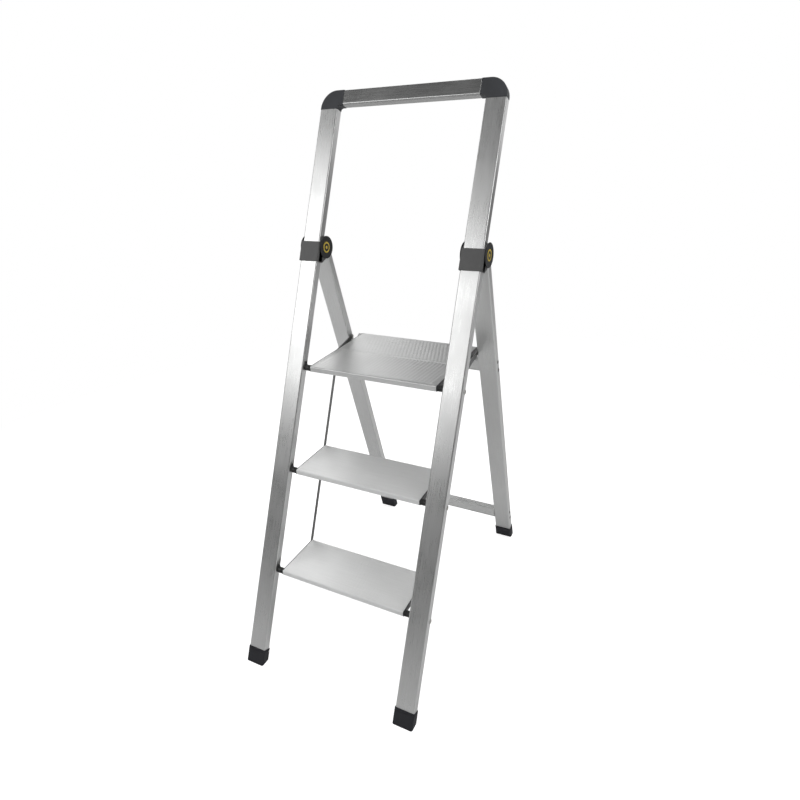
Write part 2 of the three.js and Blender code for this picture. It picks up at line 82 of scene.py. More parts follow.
HINGE_ALONG = along_rail(HINGE, HINGE_DEPTH)
FRONT_ORIGIN = HINGE - MM * (TURN_FRONT.to_3x3() @ Vector((0, HINGE_DEPTH, HINGE_ALONG)))
FRONT = Matrix.Translation(FRONT_ORIGIN) @ TURN_FRONT
REAR = Matrix.Translation(HINGE) @ TURN_REAR
LEG_FLOOR = -HINGE.z / MM / math.cos(SPLAY)  # the floor below the hinge, along the rear legs

# ---- Sizes in millimetres ----

HALF_WIDTH = 230.0
TUBE_WIDTH = 46.5
TUBE_DEPTH = 20.0
TUBE_WALL = 1.5
TUBE_RADIUS = 3.0
TUBE_MIDDLE = HALF_WIDTH - TUBE_WIDTH / 2
TUBE_INSIDE = HALF_WIDTH - TUBE_WIDTH
RAIL_START = 15.0
CORNER_START = 1367.0  # along the rail, where the corner cap begins
RAIL_TOP = 1410.0
HAND_RAIL_HEIGHT = 35.0
HAND_RAIL_RADIUS = 4.0
HAND_RAIL_WALL = 1.8
HAND_RAIL_HALF = 170.0  # half the bar's length between the corner caps
CORNER_RADIUS = 40.0
LEG_FRONT = 1.0  # of the rear legs' tubes, behind the hinge
LEG_MIDDLE = LEG_FRONT + TUBE_DEPTH / 2
LEG_START = -14.0
LEG_END = -960.0
CLAMP_FROM, CLAMP_TO = 1007.0, 1054.0
CLAMP_WALL = 2.7
CLAMP_PLATE = 25.0
CAP_RADIUS = 26.8
CAP_THICKNESS = 2.4
GAP = 0.3
FRONT_STUD_ALONG = 32.0  # from the floor line, as is the next
REAR_STUD_ABOVE = 31.0
NOSE = 7.0  # half a tread's thickness, and the nose's reach in front of the pivot
NOSE_EDGE = 3.0
TREAD_DEPTH = 130.0
PLANK_DEPTH = 128.0
PLANK_SEAM = 0.6
TREAD_END = 166.0
PLANK_HALF = TREAD_END - GAP
END_CAP_OUTSIDE = 168.0
KNUCKLE_RADIUS = 7.3
KNUCKLE_END = 174.0
BRACKET_BOSS = 174.3
BRACKET_PLATE = 181.5
RIB_PITCH = 3.4
RIB_HEIGHT = 0.4
ROD_INSIDE, ROD_OUTSIDE = 169.6, 173.8

# ---- Outlines ----


def arc(x, y, radius, start, end, steps):
    """Points of an arc, its ends included; the angles are in degrees."""
    turns = [math.radians(start + (end - start) * i / steps) for i in range(steps + 1)]
    return [(x + radius * math.cos(turn), y + radius * math.sin(turn)) for turn in turns]


def rounded(width, height, radius, x, y, steps=6):
    """A rounded rectangle about (x, y), anticlockwise."""
    a, b = width / 2 - radius, height / 2 - radius
    corners = ((a, -b, -90), (a, b, 0), (-a, b, 90), (-a, -b, 180))
    points = []
    for cx, cy, start in corners:
        points += arc(x + cx, y + cy, radius, start, start + 90, steps)
    return points


def inset(outline, distance):
    """The outline moved inwards by a distance, corner by corner."""
    moved = []
    for i, point in enumerate(outline):
        here = Vector(point)
        before = (here - Vector(outline[i - 1])).normalized()
        after = (Vector(outline[(i + 1) % len(outline)]) - here).normalized()
        normals = Vector((-before.y, before.x)), Vector((-after.y, after.x))
        step = (normals[0] + normals[1]) / max(0.3, 1 + normals[0].dot(normals[1]))
        moved.append(tuple(here + step * distance))
    return moved


# ---- Solids ----


def upright(points, level):
    """An outline drawn in the plane across a member, at a level along it."""
    return [(x, y, level) for x, y in points]


def sideways(points, x):
    """An outline drawn in (y, z), at a place along X."""
    return [(x, y, z) for y, z in points]


def facing(points, depth):
    """An outline drawn in (x, along) as seen from the front, at a depth behind the front face."""
    return [(x, depth, z) for x, z in points]


def skin(mesh, loops, ring=False):
    """Faces between successive loops, closed by end faces or, in a ring, back to the first loop."""
    rows = [[mesh.verts.new(point) for point in loop] for loop in loops]
    pairs = list(zip(rows, rows[1:]))
    if ring:
        pairs.append((rows[-1], rows[0]))
    for low, high in pairs:
        for i, vertex in enumerate(low):
            after = (i + 1) % len(low)
            mesh.faces.new((vertex, low[after], high[after], high[i]))
    if not ring:
        mesh.faces.new(rows[0])
        mesh.faces.new(rows[-1])


def softened(outline, start, end, edge, steps):
    """(outline, place) pairs of a bar whose two end edges are rounded by the radius edge."""
    turns = [QUARTER * i / steps for i in range(steps + 1)]
    rise = [(edge * (1 - math.sin(turn)), edge * (1 - math.cos(turn))) for turn in turns]
    low = [(inset(outline, drawn), start + up) for drawn, up in rise]
    high = [(inset(outline, drawn), end - up) for drawn, up in reversed(rise)]
    return low + high


def bar(mesh, outline, start, end, place, edge=0.6, steps=2):
    """A solid bar of the outline between two places, its end edges rounded."""
    skin(mesh, [place(points, level) for points, level in softened(outline, start, end, edge, steps)])


def tube(mesh, outer, inner, start, end, place):
    """An open-ended tube with a small chamfer on its cut ends."""
    cut = 0.3
    skin(
        mesh,
        [
            place(inset(outer, cut), start),
            place(outer, start + cut),
            place(outer, end - cut),
            place(inset(outer, cut), end),
            place(inner, end),
            place(inner, start),
        ],
        ring=True,
    )


def turned(mesh, profile, y=0.0, z=0.0, sides=40, ring=False):
    """A round piece about an axis along X, from (radius, x) pairs."""
    loops = []
    for radius, x in profile:
        angles = [2 * math.pi * i / sides for i in range(sides)]
        loops.append([(x, y + radius * math.cos(a), z + radius * math.sin(a)) for a in angles])
    skin(mesh, loops, ring)


DOME = 0.35, 0.7, 1.0, 1.25  # turns up from the rim of a rivet's head, in radians
DIMPLE_TOP, DIMPLE_FLOOR = (0.22, 0.97), (0.16, 0.72)  # shares of a head's radius and height


def rivet(mesh, radius, start, face, head_radius, head, y, z):
    """A pin whose domed head, with a small dimple, stands on a face. It points along +X or -X."""
    out = math.copysign(1.0, face - start)
    chamfer = 0.4
    shares = [(math.cos(turn), math.sin(turn)) for turn in DOME] + [DIMPLE_TOP, DIMPLE_FLOOR]
    profile = [(radius - chamfer, start), (radius, start + out * chamfer)]
    profile += [(radius, face), (head_radius, face)]
    profile += [(head_radius * wide, face + out * head * high) for wide, high in shares]
    turned(mesh, profile, y, z)


# ---- Objects ----

SHARP_ANGLE = math.radians(35.0)  # an edge that turns by more keeps its crease


def finish_mesh(name, mesh, where, look):
    """A shaded object in the frame's axes, from a mesh drawn in millimetres."""
    bmesh.ops.recalc_face_normals(mesh, faces=mesh.faces[:])
    bmesh.ops.scale(mesh, vec=Vector((MM, MM, MM)), verts=mesh.verts[:])
    bmesh.ops.transform(mesh, matrix=where, verts=mesh.verts[:])
    data = bpy.data.meshes.new(name)
    mesh.to_mesh(data)
    mesh.free()
    data.shade_smooth()
    data.set_sharp_from_angle(angle=SHARP_ANGLE)
    data.materials.append(look)
    piece = bpy.data.objects.new(name, data)
    bpy.context.scene.collection.objects.link(piece)
    weighted = piece.modifiers.new("weighted_normals", "WEIGHTED_NORMAL")
    weighted.keep_sharp = True
    return piece


def single(name, build, where, body, look, replaced=True):
    """One piece on a body. It stands for the CAD node of its name, unless it is an addition."""
    mesh = bmesh.new()
    build(mesh)
    piece = finish_mesh(name + "_skin", mesh, where, look)
    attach(piece, body)
    if replaced:
        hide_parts(name)


def pair(name, build, where, body, look, replaced=True):
    """The right-hand piece and its mirror image, each standing for the CAD node of its side."""

    def mirrored(mesh):
        build(mesh)
        bmesh.ops.scale(mesh, vec=Vector((-1, 1, 1)), verts=mesh.verts[:])

    single(f"{name}_right", build, where, body, look, replaced)
    single(f"{name}_left", mirrored, where, body, look, replaced)


# ---- Materials ----


class Look:
    """A material made of nodes around one Principled shader."""

    def __init__(self, name, metallic, turn=0.0):
        self.material = bpy.data.materials.new(name)
        self.material.use_nodes = True
        self.tree = self.material.node_tree
        self.tree.nodes.clear()
        output = self.node("ShaderNodeOutputMaterial")
        self.shader = self.node("ShaderNodeBsdfPrincipled")
        self.tree.links.new(self.shader.outputs["BSDF"], output.inputs["Surface"])
        self.shader.inputs["Metallic"].default_value = metallic
        members_axes = self.node("ShaderNodeMapping")
        members_axes.inputs["Rotation"].default_value = (turn, 0, 0)
        self.link(self.node("ShaderNodeTexCoord").outputs["Object"], members_axes.inputs["Vector"])
        self.place = members_axes.outputs["Vector"]

    def node(self, kind, **settings):
        made = self.tree.nodes.new(kind)
        for key, value in settings.items():
            setattr(made, key, value)
        return made

    def link(self, source, target):
        self.tree.links.new(source, target)

    def noise(self, scale, detail=2.0, roughness=0.5, stretch=(1, 1, 1)):
        """Noise of so many features a metre, drawn out along an axis by a small stretch there."""
        mapping = self.node("ShaderNodeMapping")
        mapping.inputs["Scale"].default_value = stretch
        self.link(self.place, mapping.inputs["Vector"])
        noise = self.node("ShaderNodeTexNoise")
        noise.inputs["Scale"].default_value = scale
        noise.inputs["Detail"].default_value = detail
        noise.inputs["Roughness"].default_value = roughness
        self.link(mapping.outputs["Vector"], noise.inputs["Vector"])
        return noise.outputs["Fac"]

    def ramp(self, source, low, high, start=0.3, end=0.7):
        """The source's middle range spread between two values."""
        spread = self.node("ShaderNodeMapRange")
        spread.inputs["From Min"].default_value = start
        spread.inputs["From Max"].default_value = end
        spread.inputs["To Min"].default_value = low
        spread.inputs["To Max"].default_value = high
        self.link(source, spread.inputs["Value"])
        return spread.outputs["Result"]

    def sum(self, first, second):
        adder = self.node("ShaderNodeMath", operation="ADD")
        self.link(first, adder.inputs[0])
        self.link(second, adder.inputs[1])
        return adder.outputs["Value"]

    def blend(self, factor, first, second):
        mixer = self.node("ShaderNodeMix", data_type="RGBA")
        self.link(factor, mixer.inputs["Factor"])
        for socket, colour in ((6, first), (7, second)):
            if isinstance(colour, tuple):
                mixer.inputs[socket].default_value = (*colour, 1)
            else:
                self.link(colour, mixer.inputs[socket])
        return mixer.outputs[2]

    def colour(self, source):
        self.link(source, self.shader.inputs["Base Color"])

    def roughness(self, source):
        self.link(source, self.shader.inputs["Roughness"])

    def bump(self, source, height, before=None):
        """Raises the surface by up to height metres where the source is 1."""
        bump = self.node("ShaderNodeBump")
        bump.inputs["Distance"].default_value = height
        self.link(source, bump.inputs["Height"])
        if before:
            self.link(before, bump.inputs["Normal"])
        self.link(bump.outputs["Normal"], self.shader.inputs["Normal"])
        return bump.outputs["Normal"]


def shade(value, tint):
    """A colour of a given lightness; the tint is close to 1 in each channel."""
    return tuple(value * part for part in tint)


SILVER = (0.995, 1.0, 0.995)
NEUTRAL = (1.0, 1.0, 1.0)
GRAIN = 1400.0  # brushed lines across a metre
GRAIN_HEIGHT = 0.000006
GRAIN_STRETCH = 0.012
DRAW_LINES = 160.0  # across a metre
DRAW_STRETCH = 0.02
SMUDGES = 9.0
SMUDGE_STRENGTH = 0.25
SMUDGE_FROM, SMUDGE_TO = 0.4, 0.8  # the part of the noise that shows as smudges
DRAWN = 0.00002
FINELY_DRAWN = 0.000012
SATIN = 0.000004


def brushed(name, run, value, rough, spread, turn=0.0, draw=DRAWN, metallic=1.0):
    """Anodised aluminium with a fine grain along one axis, faint smudges and draw lines."""
    look = Look(name, metallic, turn)

    def drawn_out(stretch):
        return (stretch, 1, 1) if run == "X" else (1, 1, stretch)

    grain = look.noise(GRAIN, 3.0, 0.6, drawn_out(GRAIN_STRETCH))
    draw_lines = look.noise(DRAW_LINES, 2.0, 0.5, drawn_out(DRAW_STRETCH))
    smudges = look.noise(SMUDGES, 3.0, 0.55)
    dark, light = shade(value * 0.94, SILVER), shade(value * 1.03, SILVER)
    tone = look.blend(look.ramp(grain, 0, 1), dark, light)
    smudged = look.ramp(smudges, 0, SMUDGE_STRENGTH, SMUDGE_FROM, SMUDGE_TO)
    look.colour(look.blend(smudged, tone, shade(value * 0.85, SILVER)))
    fine = look.ramp(grain, rough - spread, rough + spread)
    look.roughness(look.sum(fine, look.ramp(smudges, -0.03, 0.05)))
    lines = look.bump(look.ramp(draw_lines, 0, 1), draw)
    look.bump(look.ramp(grain, 0, 1), GRAIN_HEIGHT, lines)
    return look.material


def moulded(name, value, tint, rough, grain_height, wear=0.25):
    """Moulded plastic with a fine spark-eroded grain, a slight bloom and scuffs."""
    look = Look(name, 0.0)
    grain = look.noise(1900.0, 2.0, 0.6)
    bloom = look.noise(24.0, 3.0, 0.6)
    scuffs = look.noise(140.0, 4.0, 0.7, (1, 1, 0.25))
    dark, light = shade(value * 0.86, tint), shade(value * 1.12, tint)
    tone = look.blend(look.ramp(bloom, 0, 1), dark, light)
    scuffed = look.ramp(scuffs, 0, wear, 0.62, 0.78)
    look.colour(look.blend(scuffed, tone, shade(value * 1.9, tint)))
    fine = look.ramp(grain, rough - 0.07, rough + 0.07)
    look.roughness(look.sum(fine, look.ramp(bloom, -0.03, 0.04)))
    look.bump(look.ramp(grain, 0, 1), grain_height)
    return look.material


def plated(name, value, tint, rough, metallic=1.0):
    """Zinc-plated or blackened steel, faintly mottled."""
    look = Look(name, metallic)
    mottle = look.noise(420.0, 3.0, 0.65)
    cloud = look.noise(60.0, 2.0, 0.5)
    dark, light = shade(value * 0.82, tint), shade(value * 1.15, tint)
    look.colour(look.blend(look.ramp(mottle, 0, 1), dark, light))
    fine = look.ramp(mottle, rough - 0.06, rough + 0.08)
    look.roughness(look.sum(fine, look.ramp(cloud, -0.04, 0.04)))
    look.bump(look.ramp(mottle, 0, 1), 0.000008)
    return look.material


# Names, runs of the grain, values, roughnesses and their spreads
RAIL_METAL = brushed("rail_aluminium", "Z", 0.72, 0.30, 0.06, LEAN, FINELY_DRAWN)
LEG_METAL = brushed("leg_aluminium", "Z", 0.72, 0.32, 0.06, -SPLAY, FINELY_DRAWN)
CROSS_METAL = brushed("cross_aluminium", "X", 0.74, 0.27, 0.05)
# The hand rail is the rails' aluminium made darker: painted shade for the dim light above and in front
# of the bar.
SHADED_HAND_METAL = brushed("hand_rail_aluminium_painted_shade", "X", 0.48, 0.24, 0.05)
# The lower treads use a lighter, less metallic copy of the platform's tread aluminium: painted light
# for the light that falls on these two treads.
LIT_STEP_METAL = brushed("step_aluminium_painted_light", "X", 0.93, 0.40, 0.06, draw=SATIN, metallic=0.55)
TREAD_METAL = brushed("tread_aluminium_satin", "X", 0.76, 0.34, 0.06, draw=SATIN)
# Names, values, tints, roughnesses and heights of the grain in metres
SLATE = moulded("slate_moulding", 0.056, (0.93, 0.98, 1.1), 0.46, 0.00003)
CLAMP_GREY = moulded("clamp_moulding", 0.105, NEUTRAL, 0.40, 0.00003)
BLACK = moulded("black_moulding", 0.014, (0.95, 0.97, 1.08), 0.42, 0.00002)
CHARCOAL = moulded("charcoal_moulding", 0.042, (0.98, 1.0, 1.03), 0.36, 0.00002)
RUBBER = moulded("foot_rubber_grain", 0.016, (0.92, 0.95, 1.3), 0.60, 0.00004, wear=0.4)
YELLOW = moulded("marker_yellow", 0.72, (1.0, 0.74, 0.10), 0.42, 0.00001, wear=0.05)
# Names, values, tints and roughnesses
ZINC = plated("zinc_plating", 0.55, (1.0, 0.99, 0.95), 0.33)
DARK_STEEL = plated("blackened_steel", 0.24, NEUTRAL, 0.38, metallic=0.9)

# ---- Tubes and feet ----

FOOT_PROUD = 1.8  # the shoe's wall outside the tube
FOOT_RADIUS = 4.5
FOOT_EDGE = 0.9
FRONT_FOOT_TOP = 39.0
REAR_FOOT_HEIGHT = 38.0
FOOT_GROOVE_WIDTH, FOOT_GROOVE_DEPTH, FOOT_GROOVE_SLOPE = 1.8, 0.7, 0.5
SOLE_GROOVE = 3.4  # above the floor
STRAIGHT_ABOVE = 6.5  # the sole's highest point, before the shoe's wall stands square
WALL_BELOW_LIP = 12.0
LIP_GROOVE = 5.5  # below the shoe's top
STUD_RADIUS = 2.2
STUD_PROUD = 1.9
STUD_FROM_BACK = 3.5


def tube_outlines(middle_depth):
    outer = rounded(TUBE_WIDTH, TUBE_DEPTH, TUBE_RADIUS, TUBE_MIDDLE, middle_depth)
    width, depth = TUBE_WIDTH - 2 * TUBE_WALL, TUBE_DEPTH - 2 * TUBE_WALL
    inner = rounded(width, depth, TUBE_RADIUS - TUBE_WALL, TUBE_MIDDLE, middle_depth)
    return outer, inner


def plug_outline(width, height, wall, radius, x, y):
    """The section of a plug inside a tube of the given outer size."""
    less = 2 * (wall + GAP)
    return rounded(width - less, height - less, radius, x, y, 3)


def front_rail(mesh):
    tube(mesh, *tube_outlines(TUBE_DEPTH / 2), RAIL_START, CORNER_START, upright)


def rear_leg(mesh):
    tube(mesh, *tube_outlines(LEG_MIDDLE), LEG_END, LEG_START, upright)


def foot(mesh, middle_depth, top, tube_end, floor_at):
    """A rubber shoe with grip grooves, whose sole lies on the floor line floor_at(depth)."""
    width, depth = TUBE_WIDTH + 2 * FOOT_PROUD, TUBE_DEPTH + 2 * FOOT_PROUD
    outer = rounded(width, depth, FOOT_RADIUS, TUBE_MIDDLE, middle_depth)
    pocket = rounded(TUBE_WIDTH + GAP, TUBE_DEPTH + GAP, TUBE_RADIUS, TUBE_MIDDLE, middle_depth)
    rim = inset(outer, FOOT_EDGE)
    cut = inset(outer, FOOT_GROOVE_DEPTH)
    lip = top - LIP_GROOVE
    straight = max(floor_at(y) for _, y in outer) + STRAIGHT_ABOVE

    def sloping(points, above):
        """A loop that runs parallel to the sole, at a height above it."""
        return [(x, y, floor_at(y) + above) for x, y in points]

    def groove(place, level):
        end = level + FOOT_GROOVE_WIDTH
        low, high = level + FOOT_GROOVE_SLOPE, end - FOOT_GROOVE_SLOPE
        return [place(outer, level), place(cut, low), place(cut, high), place(outer, end)]

    loops = [sloping(rim, 0), sloping(outer, FOOT_EDGE), *groove(sloping, SOLE_GROOVE)]
    loops += [upright(outer, max(straight, lip - WALL_BELOW_LIP)), *groove(upright, lip)]
    loops += [upright(outer, top - FOOT_EDGE), upright(rim, top)]
    loops += [upright(pocket, top), upright(pocket, tube_end - GAP)]
    skin(mesh, loops)


def front_foot(mesh):
    foot(mesh, TUBE_DEPTH / 2, FRONT_FOOT_TOP, RAIL_START, lambda y: y * math.tan(LEAN))


def rear_foot(mesh):
    slope = math.tan(SPLAY)
    foot(mesh, LEG_MIDDLE, LEG_FLOOR + REAR_FOOT_HEIGHT, LEG_END, lambda y: LEG_FLOOR - y * slope)


def foot_studs(back, z):
    """The small studs near a foot's back edge that pin it to its tube, one on each side."""
    profile = [(STUD_RADIUS, 1.6), (STUD_RADIUS, 0.2), (STUD_RADIUS - 0.5, 0.0), (0.6, -0.05)]

    def build(mesh):
        for face, out in ((HALF_WIDTH + STUD_PROUD, 1), (TUBE_INSIDE - STUD_PROUD, -1)):
            placed = [(radius, face - out * deep) for radius, deep in profile]
            turned(mesh, placed, back - STUD_FROM_BACK, z, 24)

    return build


# ---- Hand rail and corner caps ----

HAND_RAIL_MIDDLE = RAIL_TOP - HAND_RAIL_HEIGHT / 2
ELBOW_FILLET = 6.0
ELBOW_EDGE = 1.2
ELBOW_SPIGOT = 30.0


def hand_rail(mesh):
    outer = rounded(
        TUBE_DEPTH, HAND_RAIL_HEIGHT, HAND_RAIL_RADIUS, TUBE_DEPTH / 2, HAND_RAIL_MIDDLE
    )
    depth, height = TUBE_DEPTH - 2 * HAND_RAIL_WALL, HAND_RAIL_HEIGHT - 2 * HAND_RAIL_WALL
    radius = HAND_RAIL_RADIUS - HAND_RAIL_WALL
    inner = rounded(depth, height, radius, TUBE_DEPTH / 2, HAND_RAIL_MIDDLE)
    tube(mesh, outer, inner, -HAND_RAIL_HALF + GAP, HAND_RAIL_HALF - GAP, sideways)


def corner_cap(mesh):
    """A thick elbow with softly rounded front and back edges, and its two spigots."""
    bottom = CORNER_START + GAP
    underside = RAIL_TOP - HAND_RAIL_HEIGHT
    centre = HALF_WIDTH - CORNER_RADIUS, RAIL_TOP - CORNER_RADIUS
    elbow = [(TUBE_INSIDE, bottom), (HALF_WIDTH, bottom)]
    elbow += arc(*centre, CORNER_RADIUS, 0, 90, 16)
    elbow += [(HAND_RAIL_HALF, RAIL_TOP), (HAND_RAIL_HALF, underside)]
    hollow = arc(TUBE_INSIDE - ELBOW_FILLET, underside - ELBOW_FILLET, ELBOW_FILLET, 0, 90, 6)
    elbow += reversed(hollow)
    bar(mesh, elbow, 0.0, TUBE_DEPTH, facing, ELBOW_EDGE, 3)
    plug = plug_outline(TUBE_WIDTH, TUBE_DEPTH, TUBE_WALL, 1, TUBE_MIDDLE, TUBE_DEPTH / 2)
    bar(mesh, plug, bottom - ELBOW_SPIGOT, bottom + 1, upright)
    plug = plug_outline(
        TUBE_DEPTH, HAND_RAIL_HEIGHT, HAND_RAIL_WALL, 2, TUBE_DEPTH / 2, HAND_RAIL_MIDDLE
    )
    bar(mesh, plug, HAND_RAIL_HALF - ELBOW_SPIGOT, HAND_RAIL_HALF + 1, sideways)


# ---- Rear leg hinges ----

CLAMP_INSIDE = TUBE_INSIDE - GAP - CLAMP_WALL
CLAMP_OUTSIDE = HALF_WIDTH + GAP + CLAMP_WALL
CLAMP_FRONT = -GAP - CLAMP_WALL
CLAMP_BACK = TUBE_DEPTH * 0.85
CLAMP_RADIUS = 2.0
CLAMP_EDGE = 0.9
CHEEK_FRONT = CLAMP_FRONT + 6
CHEEK_SET_IN = 0.5  # from the band's ends
CHEEK_ARC = -62, 165
CAP_GROOVE = 12.1, 14.5  # inner and outer radius of the shallow ring in a cap
CAP_GROOVE_DEPTH = 0.5
MARK_LOW, MARK_HEIGHT = 0.2, 2.15
DOT_RADIUS = 3.8
RING_INSIDE, RING_OUTSIDE = 9.4, 12.8
HEAD_TOP = 9.0
HEAD_NOSE = 5.4
HEAD_EDGE = 1.4
HEAD_SPIGOT = 40.0
HINGE_PIN_RADIUS = 3.0


def clamp_band(mesh):
    """The U-shaped band in front of and beside the rail."""
    left, right = CLAMP_INSIDE + CLAMP_RADIUS, CLAMP_OUTSIDE - CLAMP_RADIUS
    outside = [(CLAMP_INSIDE, CLAMP_BACK)]
    outside += arc(left, CLAMP_FRONT + CLAMP_RADIUS, CLAMP_RADIUS, 180, 270, 5)
    outside += arc(right, CLAMP_FRONT + CLAMP_RADIUS, CLAMP_RADIUS, 270, 360, 5)
    outside += [(CLAMP_OUTSIDE, CLAMP_BACK)]
    left, right = CLAMP_INSIDE + CLAMP_WALL, CLAMP_OUTSIDE - CLAMP_WALL
    inside = [(right, CLAMP_BACK), (right, -GAP), (left, -GAP), (left, CLAMP_BACK)]
    bar(mesh, outside + inside, CLAMP_FROM, CLAMP_TO, upright, CLAMP_EDGE, 3)


def clamp_cheeks(mesh):
    """The two round plates that carry the hinge pin."""
    low, high = CLAMP_FROM + CHEEK_SET_IN, CLAMP_TO - CHEEK_SET_IN
    lobe = [(CHEEK_FRONT, low), (TUBE_DEPTH, low)]
    lobe += arc(HINGE_DEPTH, HINGE_ALONG, CLAMP_PLATE, *CHEEK_ARC, 26)
    lobe += [(CHEEK_FRONT, high)]
    bar(mesh, lobe, CLAMP_INSIDE, CLAMP_INSIDE + CLAMP_WALL, sideways)
    bar(mesh, lobe, CLAMP_OUTSIDE - CLAMP_WALL, CLAMP_OUTSIDE, sideways)


def hinge_clamp(mesh):
    clamp_band(mesh)
    clamp_cheeks(mesh)


def cap_disc(base, out):
    """A dished cap with a raised rim and a shallow ring; out is the way its face looks."""
    rim, face = CAP_THICKNESS, CAP_THICKNESS - 0.4
    inner, outer = CAP_GROOVE
    profile = [
        (2.0, 0.0),
        (CAP_RADIUS - 0.6, 0.0),
        (CAP_RADIUS, 0.6),
        (CAP_RADIUS, rim - 0.7),
        (CAP_RADIUS - 0.5, rim - 0.1),
        (CAP_RADIUS - 1.6, rim),
        (CAP_RADIUS - 2.8, rim - 0.1),
        (CAP_RADIUS - 3.4, rim - 0.6),
        (outer, face - 0.05),
        (outer - 0.5, face - CAP_GROOVE_DEPTH),
        (inner + 0.5, face - CAP_GROOVE_DEPTH),
        (inner, face),
        (2.0, face),
    ]
    placed = [(radius, base + out * height) for radius, height in profile]
    return lambda mesh: turned(mesh, placed, HINGE_DEPTH, HINGE_ALONG, 72)


def cap_mark(base, out):
    """A plain round marker let into the cap's middle: a ring about a dot."""
    low = base + out * MARK_LOW
    high = low + out * MARK_HEIGHT
    dot = [(DOT_RADIUS, low), (DOT_RADIUS, high - out * 0.3), (DOT_RADIUS - 0.4, high)]
    dot += [(1.2, high)]
    ring = [(RING_INSIDE, low), (RING_OUTSIDE, low), (RING_OUTSIDE, high - out * 0.2)]
    ring += [(RING_OUTSIDE - 0.3, high), (RING_INSIDE + 0.3, high)]
    ring += [(RING_INSIDE, high - out * 0.2)]

    def build(mesh):
        turned(mesh, dot, HINGE_DEPTH, HINGE_ALONG, 48)
        turned(mesh, ring, HINGE_DEPTH, HINGE_ALONG, 64, ring=True)

    return build


def leg_head(mesh):
    """The rounded plastic head of a rear leg, with its spigot in the tube."""
    back = LEG_FRONT + TUBE_DEPTH
    base = LEG_START + GAP
    profile = [(LEG_FRONT, base), (back, base)]
    profile += arc(back - HEAD_TOP, 0, HEAD_TOP, 0, 90, 8)
    profile += arc(0, 0, HEAD_NOSE, 108, 200, 8)
    profile += [(LEG_FRONT, base + 4)]
    bar(mesh, profile, TUBE_INSIDE + GAP, HALF_WIDTH - GAP, sideways, HEAD_EDGE, 3)
    plug = plug_outline(TUBE_WIDTH, TUBE_DEPTH, TUBE_WALL, 1, TUBE_MIDDLE, LEG_MIDDLE)
    bar(mesh, plug, base - HEAD_SPIGOT, base + 1, upright)


def hinge_pin(mesh):
    chamfer = 0.4
    start, end = CLAMP_INSIDE + 0.2, CLAMP_OUTSIDE - 0.2
    tip = HINGE_PIN_RADIUS - chamfer
    profile = [(tip, start), (HINGE_PIN_RADIUS, start + chamfer)]
    profile += [(HINGE_PIN_RADIUS, end - chamfer), (tip, end)]
    turned(mesh, profile, HINGE_DEPTH, HINGE_ALONG, 32)


# ---- Crossbars and screws ----

CROSSBARS = {
    "upper": {"from": 287.0, "to": 321.0, "front": 4.0, "back": 21.0, "screws": 12.0},
    "lower": {"from": 856.0, "to": 891.0, "front": 1.5, "back": 20.5, "screws": 12.0},
}
CROSSBAR_RADIUS = 2.5
BEAD_FROM_EDGE = 6.0
BEAD_DEPTH = 0.5
BEAD_HALF, BEAD_FLOOR_HALF = 1.2, 0.6
SCREW = {"radius": 2.3, "start": 168.0, "face": HALF_WIDTH + 0.1, "head_radius": 4.5, "head": 1.5}


def crossbar_outline(size):
    """The bar's section in (behind, up): rounded, with a draw bead near each long edge."""
    front, back = size["front"], size["back"]
    low, high = -size["to"], -size["from"]
    left, right = front + CROSSBAR_RADIUS, back - CROSSBAR_RADIUS
    below, above = low + CROSSBAR_RADIUS, high - CROSSBAR_RADIUS
    corners = ((left, below, 180), (right, below, 270), (right, above, 0), (left, above, 90))
    outline = []
    for x, y, start in corners:
        outline += arc(x, y, CROSSBAR_RADIUS, start, start + 90, 5)
    bottom = front + BEAD_DEPTH
    for level in (high - BEAD_FROM_EDGE, low + BEAD_FROM_EDGE):
        outline += [(front, level + BEAD_HALF), (bottom, level + BEAD_FLOOR_HALF)]
        outline += [(bottom, level - BEAD_FLOOR_HALF), (front, level - BEAD_HALF)]
    return outline


def crossbar(size):
    reach = TUBE_INSIDE - GAP
    return lambda mesh: bar(mesh, crossbar_outline(size), -reach, reach, sideways, 0.3, 1)


def crossbar_screw(size, offset):
    """A screw whose domed head lies on the leg's outer face."""
    y = (size["front"] + size["back"]) / 2
    z = -(size["from"] + size["to"]) / 2 - offset
    return lambda mesh: rivet(mesh, y=y, z=z, **SCREW)


# ---- Treads ----

TREAD_EDGE = 2.0
RIBS_BEHIND_NOSE, RIBS_BEHIND_SEAM, RIBS_BEFORE_BACK = 1.0, 3.0, 4.0
RIB_TOP, RIB_GROOVE = (0.10, 0.52), (0.68, 0.94)  # shares of the pitch, from the back
STRIPE = 9.6
STRIPE_STEPS = 6
STRIPE_MARGIN = 10.0
STRIPE_RUN_OUT = 2.0
FRONT_WAVE, REAR_WAVE = 0.42, 0.2
FRONT_SLANT, REAR_SLANT = 0.08, -0.35


def nose_outline():
    """The flat-faced nose with its rounded edges, from the top round to the underside."""
    middle, level = NOSE_EDGE - NOSE, NOSE - NOSE_EDGE
    return arc(middle, level, NOSE_EDGE, 90, 180, 8) + arc(middle, -level, NOSE_EDGE, 180, 270, 8)


def back_outline(back):
    """The square back with its rounded edges, from the underside round to the top."""
    middle, level = back - TREAD_EDGE, NOSE - TREAD_EDGE
    return arc(middle, -level, TREAD_EDGE, -90, 0, 4) + arc(middle, level, TREAD_EDGE, 0, 90, 4)


def seam_outline(front):
    """The square front of a plank behind another, from the top round to the underside."""
    middle, level = front + TREAD_EDGE, NOSE - TREAD_EDGE
    return arc(middle, level, TREAD_EDGE, 90, 180, 4) + arc(middle, -level, TREAD_EDGE, 180, 270, 4)


